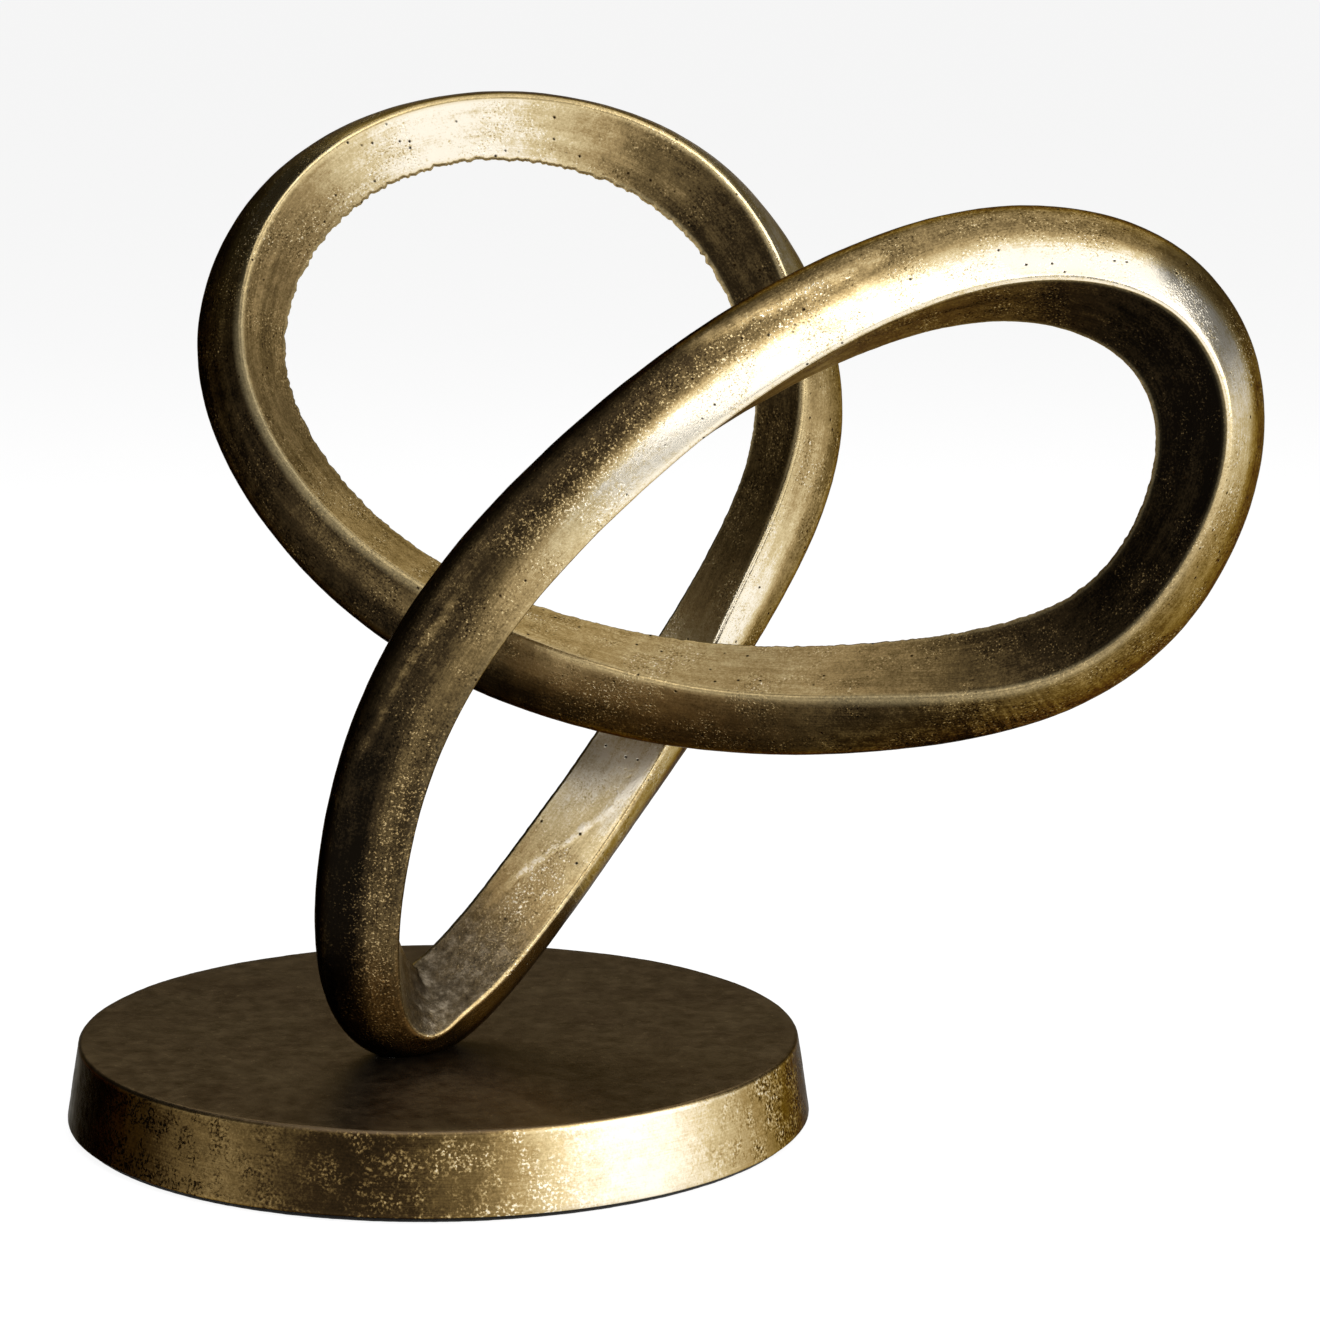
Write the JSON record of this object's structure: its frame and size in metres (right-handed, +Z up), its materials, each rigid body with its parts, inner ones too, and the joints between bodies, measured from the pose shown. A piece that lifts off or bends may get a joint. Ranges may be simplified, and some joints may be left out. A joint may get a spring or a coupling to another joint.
{
  "type": "knot sculpture",
  "caption": "Free-standing ornament: a closed D-section metal strand tied as an open knot, standing on a round weighted base.",
  "frame": {"origin": "centre of the felt underside of the round base, on the surface that the ornament stands on", "axes": "+X to the right as pictured, along the knot's long overhang, +Y away from the viewer, +Z up"},
  "size_m": [0.3125, 0.1998, 0.2734],
  "materials": {
    "brassed_casting": "sand cast, filed and brushed, antique brass finish rubbed back on the ridges",
    "plated_base": "sand cast and turned, antique brass finish, satin top and brushed side",
    "felt": "black needle felt",
    "steel": "zinc plated"
  },
  "bodies": {
    "root": {"base_plate": "plated_base", "felt_pad": "felt", "foot_screws": "steel", "foot_screw_washers": "steel", "front_casting": "brassed_casting", "left_loop_casting": "brassed_casting", "back_strut_casting": "brassed_casting", "bar_weld_bead": "brassed_casting", "top_weld_bead": "brassed_casting", "foot_weld_bead": "brassed_casting"}
  },
  "joints": []
}
